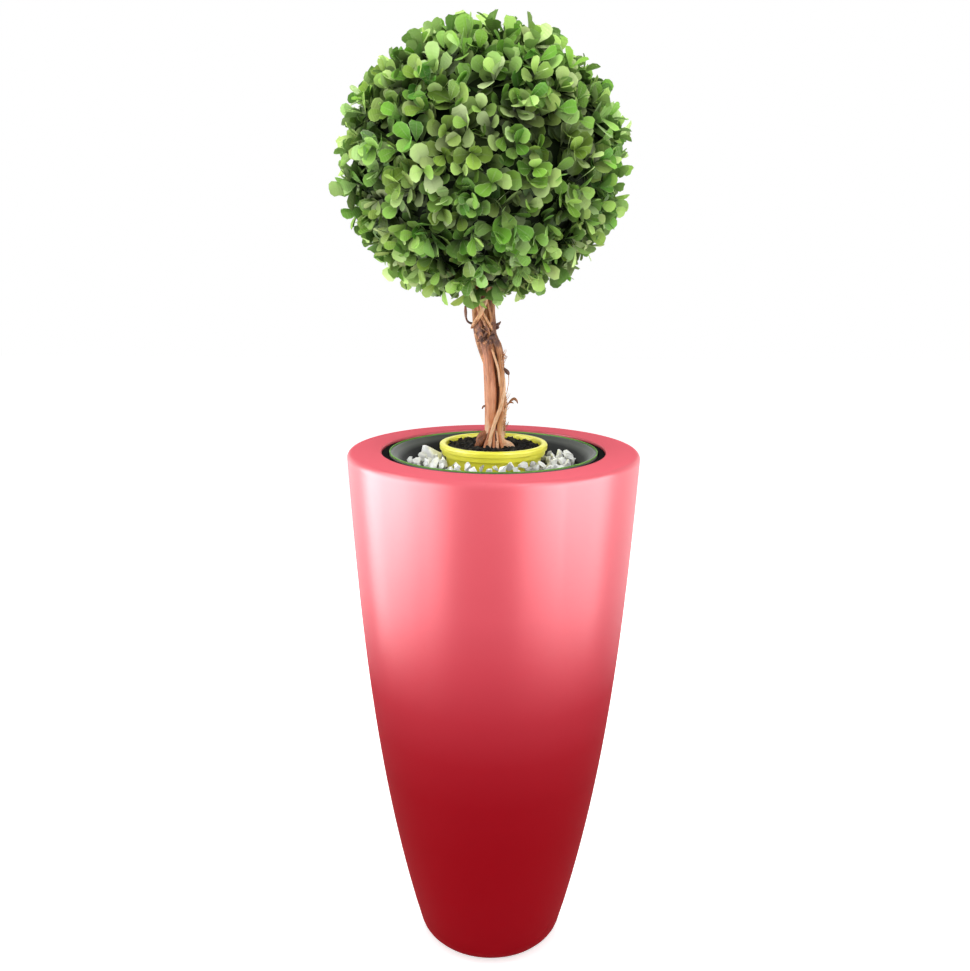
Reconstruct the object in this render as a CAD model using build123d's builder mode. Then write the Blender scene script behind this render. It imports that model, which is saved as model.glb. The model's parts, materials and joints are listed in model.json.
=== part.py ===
"""Tall tapered floor planter with a lift-out liner, dressed with a potted topiary ball.

The planter is a hollow moulding with a wide turned-in rim. A black collar lies on the ledge inside
its mouth and carries a bowl-topped liner. The liner holds a bed of gravel, a dressing of white marble
chips and a yellow pot. In the pot, a natural stem wound with vines is cast into a plaster block and
carries a foam ball, into which the leaf sprigs are pushed.

Frame: +Z up, the floor at Z = 0, the planter's axis on Z. Lengths are in millimetres.
"""

from build123d import *
import os
import random
from math import cos, pi, radians, sin, sqrt

os.makedirs("parts", exist_ok=True)

# ------------------------------------------------------------------ driving dimensions
lift_gap = 0.3  # clearance round anything that lifts out
rest_gap = 0.2  # air left between pieces of one assembly that only lie together

# Outer shell
planter_height = 660
rim_radius = 178
upper_radius, upper_height = 161, 400  # two points that the wall passes through
lower_radius, lower_height = 133, 188
base_radius = 90  # where the wall would meet the floor with no rounding
base_round = 26
rim_round = 7
wall = 4.5
mouth_radius = 136.5
mouth_depth = 12  # from the rim's top down to the ledge
ledge_width = 12.5
foot_ring_radius = 46  # inside edge of the ring that stands on the floor
foot_recess = 7
edge_round = 2

# Drain plug
drain_radius = 12
plug_gap = 0.15
plug_rib = 0.1  # how far the shank's ribs stand out
plug_head_radius = 18
plug_head_height = 3.5
plug_reach = 6  # shank above the shell's floor
washer_thickness = 1.6
washer_inset = 0.5  # washer's edge inside the head's

# Collar
collar_top_drop = 3  # below the rim's top
collar_shelf = 5
collar_band = 8.6  # width of the band that shows round the lip

# Liner
lip_drop = 2  # below the rim's top
lip_gap = 0.8  # between the lip and the collar's band
lip_width = 4.6
bowl_radius, bowl_depth = 105, 17  # foot of the sloping bowl, measured from the lip's top
liner_floor_radius = 86
liner_depth = 163
liner_wall = 2.5
liner_corner = 9
liner_drain_count = 6
liner_drain_radius, liner_drain_circle = 5, 55
trim_height, trim_width = 1.6, 1.2

# Gravel and marble chips
gravel_top_drop = 20  # below the rim's top
chip_row_radii = (72.5, 85, 97.5)
chip_row_counts = (30, 36, 42)
chip_reach = 5.8
chip_height_shares = (1.8, 2.6)  # of the reach, from the flattest to the tallest
chip_corner_count = 10

# Pot
pot_height = 110
pot_rim_rise = 9  # above the planter's rim
pot_rim_radius = 66
pot_mouth_radius = 58.5
pot_base_radius = 47
pot_wall = 2
pot_band = 10
pot_drain_count = 5
pot_drain_radius, pot_drain_circle = 4, 26

# Pot filling
plaster_height = 48
soil_drop = 4.5  # below the pot's rim

# Stem: its axis as (height above the soil, lean towards +X, radius)
stem_course = (
    (0, -4, 9),
    (38, -3.8, 6.8),
    (68, -4.2, 7.3),
    (93, -6, 6.8),
    (119, -10, 6.8),
    (129, -12.8, 7.2),
    (141, -16, 7.2),
    (156, -18, 7),
    (171, -18.5, 6.8),
)
stem_side_count = 8
neck_radius = 6.6
neck_gap = 0.05  # glue round the neck, where it goes up into the ball
stem_in_core = 38
root_bearings = (-150, -108, -68, 74, 140, 172, 204)
root_length, root_height, root_half_width = 13, 8, 3.2
twig_spots = (  # height above the soil, bearing, climb in degrees, length
    (48, 195, 20, 5),
    (52, 15, 5, 12),
    (146, 12, 30, 9),
    (149, 216, 45, 13),
)
twig_radius = 1.8

# Vines
vine_side_count = 6
vine_gap = 0.6  # between the stem and each vine
vines = (  # radius, bearing at the soil, turn up to the ball, bow away from the stem at mid height
    (4.2, -10, -22, 3.2),
    (2.2, -42, -83, 0),
    (2.2, 40, 10, 0),
    (2.0, 107, 0, 0),
)
wrap_radius = 2
wrap_foot = 110  # height above the soil
wrap_start, wrap_turn = -175, 100
wrap_bow = 5.3  # takes it over the vine that it crosses
wrap_step_count = 8

# Ball
ball_lean = -14
ball_rise = 330  # centre above the rim's top
core_radius = 136
core_half_height = 127
core_span_count = 8  # spans of the core's outline from pole to pole
sprig_row_count = 9  # spaces from pole to pole
bare_row_count = 1  # rows left empty round the stem
sprig_spacing = 54  # along a row, at the leaves' height
pin_depth = 10
pin_size = 3
leaf_length, leaf_width, leaf_keel = 29, 20, 3
leaf_widest = 0.62  # share of the leaf's length
whorl_leaf_count = 4
outer_level, outer_climb = 3, 24  # height on the pin, degrees above flat
inner_level, inner_climb = 11, 54

# ------------------------------------------------------------------ levels and radii that follow
rim_top = planter_height
ledge_top = rim_top - mouth_depth
ledge_radius = mouth_radius - ledge_width
floor_top = foot_recess + wall
shelf_top = ledge_top + collar_shelf
collar_top = rim_top - collar_top_drop
collar_radius = mouth_radius - lift_gap
band_inside = collar_radius - collar_band
lip_top = rim_top - lip_drop
lip_radius = band_inside - lip_gap
lip_inside = lip_radius - lip_width
bowl_foot = lip_top - bowl_depth
liner_floor = lip_top - liner_depth
gravel_top = rim_top - gravel_top_drop
pot_top = rim_top + pot_rim_rise
pot_bottom = pot_top - pot_height
plaster_bottom = pot_bottom + pot_wall
plaster_top = plaster_bottom + plaster_height
soil_top = pot_top - soil_drop
ball_centre = rim_top + ball_rise
core_bottom = ball_centre - core_half_height
neck_rise = core_bottom - soil_top
foot_lean, foot_radius = stem_course[0][1:]
stem_stations = stem_course + ((neck_rise, ball_lean, neck_radius),)


def bowl_inside(height):
    """Radius of the liner's steep inner wall at a height."""
    share = (height - liner_floor) / (bowl_foot - liner_floor)
    return liner_floor_radius + share * (bowl_radius - liner_floor_radius)


def slope_inside(height):
    """Radius of the liner's sloping bowl at a height."""
    share = (height - bowl_foot) / bowl_depth
    return bowl_radius + share * (lip_inside - bowl_radius)


def pot_inside(height):
    """Radius of the pot's inner wall at a height."""
    share = (height - pot_bottom) / pot_height
    return pot_base_radius - pot_wall + share * (pot_mouth_radius - pot_base_radius + pot_wall)


def corner(sketch, radius, height):
    """The vertex of a half section nearest to a radius and a height."""
    return sketch.vertices().sort_by_distance(Vector(radius, height))[0]


def finish(piece, name):
    """Labels a finished piece and writes it as parts/<name>.step."""
    piece.label = name
    export_step(piece, f"parts/{name}.step")


# ------------------------------------------------------------------ outer shell
def wall_outline(inset, bottom, top):
    """The tapered wall's side, moved in by an inset, from the bottom level to the top level."""
    foot = (base_radius - inset, bottom)
    lower = (lower_radius - inset, lower_height)
    upper = (upper_radius - inset, upper_height)
    Spline(foot, lower, upper, (rim_radius - inset, top))


with BuildPart() as outer_shell:
    with BuildSketch(Plane.XZ) as shell_section:
        with BuildLine() as shell_outside:
            wall_outline(0, 0, rim_top)
            Polyline((rim_radius, rim_top), (0, rim_top), (0, 0), (base_radius, 0))
        make_face()
        with BuildLine() as shell_inside:
            wall_outline(wall, wall, rim_top - wall)
            Polyline(
                (rim_radius - wall, rim_top - wall),
                (mouth_radius + wall, rim_top - wall),
                (mouth_radius + wall, ledge_top - wall),
                (0, ledge_top - wall),
                (0, floor_top),
                (foot_ring_radius, floor_top),
                (foot_ring_radius + foot_recess, wall),
                (base_radius - wall, wall),
            )
        make_face(mode=Mode.SUBTRACT)
        with BuildLine() as mouth:
            Polyline(
                (0, ledge_top - wall),
                (ledge_radius, ledge_top - wall),
                (ledge_radius, ledge_top),
                (mouth_radius, ledge_top),
                (mouth_radius, rim_top),
                (0, rim_top),
                close=True,
            )
        make_face(mode=Mode.SUBTRACT)
        with BuildLine() as recess:
            Polyline(
                (0, 0),
                (foot_ring_radius + foot_recess / 2, 0),
                (foot_ring_radius, foot_recess),
                (0, foot_recess),
                close=True,
            )
        make_face(mode=Mode.SUBTRACT)
        fillet(corner(shell_section, base_radius, 0), base_round)
        fillet(corner(shell_section, base_radius - wall, wall), base_round - wall)
        fillet(corner(shell_section, rim_radius, rim_top), rim_round)
        fillet(corner(shell_section, rim_radius - wall, rim_top - wall), rim_round - wall)
        fillet(corner(shell_section, mouth_radius, rim_top), edge_round)
    revolve(axis=Axis.Z)
    with Locations((0, 0, foot_recess)):
        Hole(drain_radius)
finish(outer_shell.part, "outer_shell")

# ------------------------------------------------------------------ drain plug and washer
shank_radius = drain_radius - plug_gap - plug_rib
head_top = foot_recess - washer_thickness
with BuildPart() as drain_plug:
    with Locations((0, 0, head_top)):
        Cylinder(plug_head_radius, plug_head_height, align=(Align.CENTER, Align.CENTER, Align.MAX))
    chamfer(drain_plug.edges().group_by(Axis.Z)[0], plug_head_height / 4)
    shank_length = floor_top + plug_reach - head_top
    with Locations((0, 0, head_top)):
        Cylinder(shank_radius, shank_length, align=(Align.CENTER, Align.CENTER, Align.MIN))
    chamfer(drain_plug.edges().group_by(Axis.Z)[-1], plug_reach / 4)
    with BuildSketch(Plane.XZ) as rib_section:
        for level in (foot_recess + wall / 4, foot_recess + 3 * wall / 4):
            with Locations((shank_radius, level)):
                Rectangle(2 * plug_rib, wall / 6)
    revolve(axis=Axis.Z)
finish(drain_plug.part, "drain_plug")

with BuildPart() as plug_washer:
    with Locations((0, 0, head_top)):
        Cylinder(
            plug_head_radius - washer_inset,
            washer_thickness,
            align=(Align.CENTER, Align.CENTER, Align.MIN),
        )
        Cylinder(
            drain_radius + plug_rib,
            washer_thickness,
            align=(Align.CENTER, Align.CENTER, Align.MIN),
            mode=Mode.SUBTRACT,
        )
finish(plug_washer.part, "plug_washer")

# ------------------------------------------------------------------ liner and its trim
with BuildPart() as liner:
    with BuildSketch(Plane.XZ) as liner_section:
        with BuildLine() as bowl_outline:
            Polyline(
                (0, liner_floor),
                (liner_floor_radius, liner_floor),
                (bowl_radius, bowl_foot),
                (lip_inside, lip_top),
                (0, lip_top),
                close=True,
            )
        make_face()
        bowl = liner_section.sketch_local
        offset(amount=liner_wall, kind=Kind.INTERSECTION)
        with Locations((0, lip_top)):
            Rectangle(
                lip_inside + liner_wall,
                liner_depth + liner_wall,
                align=(Align.MIN, Align.MAX),
                mode=Mode.INTERSECT,
            )
        with Locations((lip_inside, shelf_top)):
            Rectangle(lip_width, lip_top - shelf_top, align=(Align.MIN, Align.MIN))
        add(bowl, mode=Mode.SUBTRACT)
        fillet(corner(liner_section, liner_floor_radius, liner_floor), liner_corner)
        fillet(
            corner(liner_section, liner_floor_radius + liner_wall, liner_floor - liner_wall),
            liner_corner + liner_wall,
        )
    revolve(axis=Axis.Z)
    with Locations((0, 0, liner_floor)):
        with PolarLocations(liner_drain_circle, liner_drain_count):
            Hole(liner_drain_radius, 2 * liner_wall)
finish(liner.part, "liner")

with BuildPart() as liner_trim:
    with BuildSketch(Plane.XZ) as trim_section:
        with Locations((lip_radius - trim_width, lip_top)):
            Rectangle(trim_width, trim_height, align=(Align.MIN, Align.MIN))
        fillet(trim_section.vertices().group_by(Axis.Y)[-1], trim_width / 3)
    revolve(axis=Axis.Z)
finish(liner_trim.part, "liner_trim")

# ------------------------------------------------------------------ collar
slope_at_shelf = slope_inside(shelf_top) + liner_wall * sqrt(2)
with BuildPart() as collar:
    with BuildSketch(Plane.XZ) as collar_section:
        with BuildLine() as collar_outline:
            Polyline(
                (slope_at_shelf + lip_gap, ledge_top),
                (collar_radius, ledge_top),
                (collar_radius, collar_top),
                (band_inside, collar_top),
                (band_inside, shelf_top),
                (slope_at_shelf + lip_gap, shelf_top),
                close=True,
            )
        make_face()
        fillet(corner(collar_section, collar_radius, collar_top), edge_round / 2)
        fillet(corner(collar_section, band_inside, collar_top), edge_round / 2)
    revolve(axis=Axis.Z)
finish(collar.part, "collar")

# ------------------------------------------------------------------ gravel bed and marble chips
socket_gap = lift_gap + pot_wall
with BuildPart() as gravel_fill:
    with BuildSketch(Plane.XZ) as gravel_section:
        with BuildLine() as gravel_outline:
            Polyline(
                (0, liner_floor),
                (liner_floor_radius - liner_corner, liner_floor),
                (bowl_inside(liner_floor + liner_corner) - rest_gap, liner_floor + liner_corner),
                (bowl_inside(gravel_top) - rest_gap, gravel_top),
                (pot_inside(gravel_top) + socket_gap, gravel_top),
                (pot_inside(pot_bottom) + socket_gap, pot_bottom),
                (0, pot_bottom),
                close=True,
            )
        make_face()
    revolve(axis=Axis.Z)
finish(gravel_fill.part, "gravel_fill")


def stone(pick, reach, height):
    """An angular stone of about this reach and height, standing on Z = 0, from a random source."""
    corners = []
    for k in range(chip_corner_count):
        level = 1 - 2 * (k + 0.5) / chip_corner_count
        around = 2.4 * k + pick.uniform(-0.5, 0.5)
        out = sqrt(1 - level**2) * reach * pick.uniform(0.8, 1)
        corners.append(Vector(out * cos(around), out * sin(around), level * height / 2))
    lowest = min(point.Z for point in corners)
    return ConvexPolyhedron([point - Vector(0, 0, lowest) for point in corners])


pick = random.Random(4)
chips = []
for row_radius, count in zip(chip_row_radii, chip_row_counts):
    for k in range(count):
        turn = 360 * (k + pick.uniform(-0.08, 0.08)) / count
        seat = Location((0, 0, gravel_top + rest_gap), (0, 0, turn)) * Location((row_radius, 0, 0))
        chips.append(seat * stone(pick, chip_reach, pick.uniform(*chip_height_shares) * chip_reach))
finish(Compound(children=chips), "marble_chips")

# ------------------------------------------------------------------ pot
with BuildPart() as grow_pot:
    with BuildSketch(Plane.XZ) as pot_section:
        with BuildLine() as pot_outline:
            Polyline(
                (0, pot_bottom),
                (pot_inside(pot_bottom) + pot_wall, pot_bottom),
                (pot_inside(pot_top - pot_band) + pot_wall, pot_top - pot_band),
                (pot_rim_radius - pot_wall / 2, pot_top - pot_band),
                (pot_rim_radius, pot_top),
                (pot_inside(pot_top), pot_top),
                (pot_inside(plaster_bottom), plaster_bottom),
                (0, plaster_bottom),
                close=True,
            )
        make_face()
        with BuildLine() as under_band:
            Polyline(
                (pot_inside(pot_top - pot_band) + pot_wall, pot_top - pot_band),
                (pot_rim_radius - 1.5 * pot_wall, pot_top - pot_band),
                (pot_rim_radius - 1.5 * pot_wall, pot_top - pot_wall),
                (pot_inside(pot_top - pot_wall) + pot_wall, pot_top - pot_wall),
                close=True,
            )
        make_face(mode=Mode.SUBTRACT)
        fillet(corner(pot_section, pot_rim_radius, pot_top), pot_wall * 0.9)
        fillet(corner(pot_section, pot_inside(pot_top), pot_top), pot_wall / 2)
    revolve(axis=Axis.Z)
    with Locations((0, 0, plaster_bottom)):
        with PolarLocations(pot_drain_circle, pot_drain_count):
            Hole(pot_drain_radius, 2 * pot_wall)
finish(grow_pot.part, "grow_pot")


# ------------------------------------------------------------------ stem with its roots and twigs
def stem_at(rise):
    """The stem's lean and radius at a height above the soil."""
    for low, high in zip(stem_stations, stem_stations[1:]):
        if rise <= high[0]:
            break
    share = (rise - low[0]) / (high[0] - low[0])
    return low[1] + share * (high[1] - low[1]), low[2] + share * (high[2] - low[2])


def round_section(centre, radius, sides):
    """A level many-sided section of a stem or vine."""
    with BuildSketch(Plane(origin=centre)) as section:
        RegularPolygon(radius, sides)
    return section.sketch.faces()[0]


stem_foot = plaster_bottom + plaster_height / 4
stem_tip = core_bottom + stem_in_core
stem_levels = [(stem_foot, foot_lean, foot_radius)]
stem_levels += [(soil_top + rise, lean, radius) for rise, lean, radius in stem_stations]
stem_levels += [(stem_tip, ball_lean, neck_radius)]
with BuildPart() as main_stem:
    stem_sections = [round_section((lean, 0, z), radius, stem_side_count) for z, lean, radius in stem_levels]
    loft(stem_sections, ruled=True)
    for bearing in root_bearings:
        outward = Vector(1, 0, 0).rotate(Axis.Z, bearing)
        start = Vector(foot_lean, 0, soil_top + rest_gap)
        across = Plane(start + outward * (foot_radius / 2), outward.rotate(Axis.Z, 90), outward)
        with BuildSketch(across) as root_section:
            with BuildLine():
                Polyline(
                    (-root_half_width, 0),
                    (root_half_width, 0),
                    (root_half_width / 2, root_height),
                    (-root_half_width / 2, root_height),
                    close=True,
                )
            make_face()
        tip = start + outward * (foot_radius + root_length)
        loft([root_section.sketch.faces()[0], Vertex(*tip)], ruled=True)
    for rise, bearing, climb, length in twig_spots:
        lean, radius = stem_at(rise)
        spot = Location((lean, 0, soil_top + rise), (0, 0, bearing)) * Location((0, 0, 0), (0, 90 - climb, 0))
        with Locations(spot):
            Cone(twig_radius, twig_radius / 2, radius + length, align=(Align.CENTER, Align.CENTER, Align.MIN))
finish(main_stem.part, "main_stem")

# ------------------------------------------------------------------ plaster and soil round the stem
with BuildPart() as plaster_block:
    with BuildSketch(Plane.XZ):
        with BuildLine():
            Polyline(
                (0, plaster_bottom),
                (pot_inside(plaster_bottom) - rest_gap, plaster_bottom),
                (pot_inside(plaster_top) - rest_gap, plaster_top),
                (0, plaster_top),
                close=True,
            )
        make_face()
    revolve(axis=Axis.Z)
    with BuildSketch(Plane(origin=(foot_lean, 0, stem_foot))):
        RegularPolygon(foot_radius, stem_side_count)
    extrude(amount=plaster_height, mode=Mode.SUBTRACT)
finish(plaster_block.part, "plaster_block")

with BuildPart() as potting_soil:
    with BuildSketch(Plane.XZ):
        with BuildLine():
            Polyline(
                (0, plaster_top),
                (pot_inside(plaster_top) - rest_gap, plaster_top),
                (pot_inside(soil_top) - rest_gap, soil_top),
                (0, soil_top),
                close=True,
            )
        make_face()
    revolve(axis=Axis.Z)
    with BuildSketch(Plane(origin=(foot_lean, 0, plaster_top))):
        RegularPolygon(foot_radius, stem_side_count)
    extrude(amount=soil_top - plaster_top, mode=Mode.SUBTRACT)
finish(potting_soil.part, "potting_soil")


# ------------------------------------------------------------------ vines
def vine_point(rise, bearing, stand_off, bow, share):
    """A point beside the stem, at a height above the soil, a bearing and a distance off its side.

    The bow adds to the distance in the middle of the vine's course, where share is a half.
    """
    lean, radius = stem_at(rise)
    reach = radius + stand_off + bow * sin(pi * share)
    return (lean + reach * cos(radians(bearing)), reach * sin(radians(bearing)), soil_top + rise)


vine_rises = [rest_gap] + [rise for rise, _, _ in stem_course[1:]] + [neck_rise - lift_gap]
for number, (radius, start, turn, bow) in enumerate(vines, 1):
    sections = []
    for rise in vine_rises:
        share = rise / vine_rises[-1]
        point = vine_point(rise, start + turn * share, vine_gap + radius, bow, share)
        sections.append(round_section(point, radius, vine_side_count))
    with BuildPart() as vine:
        loft(sections, ruled=True)
    finish(vine.part, f"vine_{number}")

with BuildPart() as vine_wrap:
    sections = []
    for step in range(wrap_step_count + 1):
        share = step / wrap_step_count
        rise = wrap_foot + share * (vine_rises[-1] - wrap_foot)
        point = vine_point(rise, wrap_start + share * wrap_turn, vine_gap + wrap_radius, wrap_bow, share)
        sections.append(round_section(point, wrap_radius, vine_side_count))
    loft(sections, ruled=True)
finish(vine_wrap.part, "vine_wrap")

# ------------------------------------------------------------------ foam ball
ball_plane = Plane((ball_lean, 0, ball_centre), x_dir=(1, 0, 0), z_dir=(0, -1, 0))
with BuildPart() as foam_core:
    with BuildSketch(ball_plane):
        with BuildLine():
            turns = [k * pi / core_span_count for k in range(core_span_count + 1)]
            side = [(core_radius * sin(turn), -core_half_height * cos(turn)) for turn in turns]
            Spline(*side, tangents=[(1, 0), (-1, 0)])
            Line(side[-1], side[0])
        make_face()
        with Locations((0, stem_tip - ball_centre)):
            Rectangle(
                neck_radius + neck_gap,
                core_half_height,
                align=(Align.MIN, Align.MAX),
                mode=Mode.SUBTRACT,
            )
    revolve(axis=Axis(ball_plane.origin, (0, 0, 1)))
finish(foam_core.part, "foam_core")

# ------------------------------------------------------------------ leaf sprigs
leaf = ConvexPolyhedron(
    [
        (0, 0, 0),
        (leaf_length * leaf_widest, leaf_width / 2, leaf_keel),
        (leaf_length * leaf_widest, -leaf_width / 2, leaf_keel),
        (leaf_length, 0, leaf_keel),
        (leaf_length * 0.55, 0, 0),
    ]
)
with BuildPart() as sprig:
    with Locations((0, 0, -pin_depth)):
        Box(
            pin_size,
            pin_size,
            pin_depth + inner_level + pin_size,
            align=(Align.CENTER, Align.CENTER, Align.MIN),
        )
    for level, climb, turn in ((outer_level, outer_climb, 0), (inner_level, inner_climb, 45)):
        for k in range(whorl_leaf_count):
            node = Location((0, 0, level), (0, 0, turn + 360 * k / whorl_leaf_count))
            add(node * Location((pin_size / 3, 0, 0), (0, -climb, 0)) * leaf)

sprigs = {"top": [], "middle": [], "bottom": []}
for row in range(sprig_row_count + 1 - bare_row_count):
    tilt = row * 180 / sprig_row_count
    ring = core_radius * sin(radians(tilt))
    row_length = 2 * pi * (core_radius + leaf_length) * sin(radians(tilt))
    count = max(1, int(row_length / sprig_spacing))
    group = "top" if tilt < 60 else "middle" if tilt < 120 else "bottom"
    for k in range(count):
        around = Location((ball_lean, 0, ball_centre), (0, 0, 360 * (k + (row % 2) / 2) / count))
        seat = around * Location((ring, 0, core_half_height * cos(radians(tilt))), (0, tilt, 0))
        sprigs[group].append(seat * sprig.part.solid())
for group, pieces in sprigs.items():
    finish(Compound(children=pieces), f"sprigs_{group}")
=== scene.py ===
import json
import math
import random

import bmesh
import bpy
import numpy as np
from mathutils import Matrix, Vector, noise

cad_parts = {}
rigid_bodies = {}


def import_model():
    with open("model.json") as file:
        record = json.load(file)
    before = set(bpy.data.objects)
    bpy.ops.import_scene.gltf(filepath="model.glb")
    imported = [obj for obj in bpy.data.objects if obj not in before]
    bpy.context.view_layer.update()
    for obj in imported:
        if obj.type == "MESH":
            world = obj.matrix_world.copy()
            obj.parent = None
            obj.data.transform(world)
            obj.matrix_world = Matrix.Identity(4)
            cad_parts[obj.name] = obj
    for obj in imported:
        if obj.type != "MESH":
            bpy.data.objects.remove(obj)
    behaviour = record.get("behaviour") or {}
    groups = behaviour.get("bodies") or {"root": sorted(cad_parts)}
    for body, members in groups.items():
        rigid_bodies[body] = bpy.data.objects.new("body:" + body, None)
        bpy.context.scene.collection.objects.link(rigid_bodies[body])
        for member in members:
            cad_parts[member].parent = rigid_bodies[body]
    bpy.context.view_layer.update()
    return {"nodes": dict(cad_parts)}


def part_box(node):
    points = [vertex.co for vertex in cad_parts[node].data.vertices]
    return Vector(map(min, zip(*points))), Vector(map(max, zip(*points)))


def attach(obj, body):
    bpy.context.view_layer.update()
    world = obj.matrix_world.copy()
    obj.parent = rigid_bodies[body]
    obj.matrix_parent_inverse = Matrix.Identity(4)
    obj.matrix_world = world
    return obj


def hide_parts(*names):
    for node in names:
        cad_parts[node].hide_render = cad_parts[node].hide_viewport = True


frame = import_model()
print("frame loaded")

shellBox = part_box("outer_shell")
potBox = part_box("grow_pot")
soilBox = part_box("potting_soil")
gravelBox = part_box("gravel_fill")
rimTop = shellBox[1].z
soilTop = soilBox[1].z
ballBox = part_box("foam_core")
ballCentre = (ballBox[0] + ballBox[1]) / 2


# colours are written as they look on screen, 0 to 255
def tint(red, green, blue):
    parts = [c / 255 for c in (red, green, blue)]
    return tuple(c / 12.92 if c <= 0.04045 else ((c + 0.055) / 1.055) ** 2.4 for c in parts) + (1,)


# a node's output, which plain sums and products can take
class Wire:
    def __init__(self, graph, socket):
        self.graph = graph
        self.socket = socket

    def beside(self, name):
        # another output of the same node
        return Wire(self.graph, self.socket.node.outputs[name])

    def maths(self, operation, *values):
        return self.graph.node("ShaderNodeMath", values, operation=operation)

    def __add__(self, other):
        return self.maths("ADD", self, other)

    def __radd__(self, other):
        return self.maths("ADD", other, self)

    def __sub__(self, other):
        return self.maths("SUBTRACT", self, other)

    def __mul__(self, other):
        return self.maths("MULTIPLY", self, other)

    def __truediv__(self, other):
        return self.maths("DIVIDE", self, other)


class Graph:
    def __init__(self, tree):
        self.tree = tree

    def feed(self, socket, value):
        if isinstance(value, Wire):
            self.tree.links.new(value.socket, socket)
        else:
            socket.default_value = value

    def node(self, kind, values=(), out=0, **settings):
        made = self.tree.nodes.new(kind)
        for key, value in settings.items():
            setattr(made, key, value)
        pairs = values.items() if isinstance(values, dict) else enumerate(values)
        for place, value in pairs:
            self.feed(made.inputs[place], value)
        return Wire(self, made.outputs[out]) if len(made.outputs) else None

    def place(self, scale=(1, 1, 1)):
        spot = self.node("ShaderNodeTexCoord", out="Object")
        return self.node("ShaderNodeMapping", {"Vector": spot, "Scale": scale})

    def along(self, axis):
        return self.node("ShaderNodeSeparateXYZ", [self.place()], axis)

    def grain(self, scale, detail=4, stretch=(1, 1, 1), rough=0.5):
        values = {"Vector": self.place(stretch), "Scale": scale, "Detail": detail, "Roughness": rough}
        return self.node("ShaderNodeTexNoise", values)

    def blend(self, factor, first, second):
        return self.node("ShaderNodeMix", {0: factor, 6: first, 7: second}, 2, data_type="RGBA")

    def ramp(self, value, *stops):
        # each stop is a place and its colour
        made = self.node("ShaderNodeValToRGB", [value])
        elements = made.socket.node.color_ramp.elements
        while len(elements) < len(stops):
            elements.new(0.5)
        for element, (place, *colour) in zip(elements, stops):
            element.position = place
            element.color = tint(*colour)
        return made

    def spread(self, value, low, high):
        return self.node("ShaderNodeMapRange", [value, low, high])

    def bump(self, height, depth, strength=1.0):
        return self.node("ShaderNodeBump", {"Height": height, "Distance": depth, "Strength": strength})

    def stored(self, name):
        return self.node("ShaderNodeAttribute", out="Fac", attribute_name=name)

    def paint(self, **looks):
        for socket, value in looks.items():
            self.feed(self.shader[socket.replace("_", " ")], value)
        return self.material


def newFinish(name, **constants):
    material = bpy.data.materials.new(name)
    material.use_nodes = True
    material.node_tree.nodes.clear()
    graph = Graph(material.node_tree)
    surface = graph.node("ShaderNodeBsdfPrincipled")
    graph.node("ShaderNodeOutputMaterial", [surface])
    graph.shader = surface.socket.node.inputs
    graph.material = material
    graph.paint(**constants)
    return graph


def newObject(name, data):
    made = bpy.data.objects.new(name, data)
    bpy.context.scene.collection.objects.link(made)
    return made


def meshFrom(name, points, faces):
    mesh = bpy.data.meshes.new(name)
    mesh.from_pydata([tuple(p) for p in points], [], faces)
    mesh.update()
    for polygon in mesh.polygons:
        polygon.use_smooth = True
    return mesh


def meshOf(name, work):
    made = bpy.data.meshes.new(name)
    work.to_mesh(made)
    work.free()
    return made


def storeTone(mesh, name, values):
    mesh.attributes.new(name, "FLOAT", "POINT").data.foreach_set("value", values)


def storeMap(mesh, name, maps):
    layer = mesh.uv_layers.new(name=name)
    for spot, corner in enumerate(c for corners in maps for c in corners):
        layer.data[spot].uv = corner


def tidyNormals(mesh):
    work = bmesh.new()
    work.from_mesh(mesh)
    bmesh.ops.remove_doubles(work, verts=work.verts, dist=1e-7)
    bmesh.ops.recalc_face_normals(work, faces=work.faces)
    work.to_mesh(mesh)
    work.free()


def newPiece(name, mesh, body, slotName, finish, *nodes):
    piece = newObject(name, mesh)
    mesh.materials.clear()
    mesh.materials.append(finish)
    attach(piece, body)
    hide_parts(*nodes)


def roundedOutline(corners, step=12, support=0.15):
    # corners are (radius, height, rounding); a run keeps a support point beside each rounding
    points = []
    count = len(corners)
    for k, (radius, height, rounding) in enumerate(corners):
        here = Vector((radius, height))
        if not rounding:
            points.append(here)
            continue
        before = (Vector(corners[k - 1][:2]) - here).normalized()
        after = (Vector(corners[(k + 1) % count][:2]) - here).normalized()
        half = before.angle(after) / 2
        reach = rounding / math.tan(half)
        centre = here + (before + after).normalized() * rounding / math.sin(half)
        start, end = here + before * reach - centre, here + after * reach - centre
        points.append(centre + start + before * rounding * support)
        turn = start.angle_signed(end)
        steps = max(3, math.ceil(abs(math.degrees(turn)) / step))
        for s in range(steps + 1):
            angle = -turn * s / steps
            cosine, sine = math.cos(angle), math.sin(angle)
            swung = (start.x * cosine - start.y * sine, start.x * sine + start.y * cosine)
            points.append(centre + Vector(swung))
        points.append(centre + end + after * rounding * support)
    return points


def circle(count):
    angles = [2 * math.pi * k / count for k in range(count)]
    return [(math.cos(angle), math.sin(angle)) for angle in angles]


def gridFaces(rows, around, closed=False):
    # joins each ring of points to the next, and the last to the first when closed
    faces = []
    for row in range(rows if closed else rows - 1):
        here, there = row * around, (row + 1) % rows * around
        for k in range(around):
            after = (k + 1) % around
            faces.append((here + k, there + k, there + after, here + after))
    return faces


def latheMesh(name, outline, around):
    # turns a closed outline of (radius, height) round the Z axis
    points = [(p.x * cosine, p.x * sine, p.y) for cosine, sine in circle(around) for p in outline]
    mesh = meshFrom(name, points, gridFaces(around, len(outline), closed=True))
    tidyNormals(mesh)
    return mesh


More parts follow.
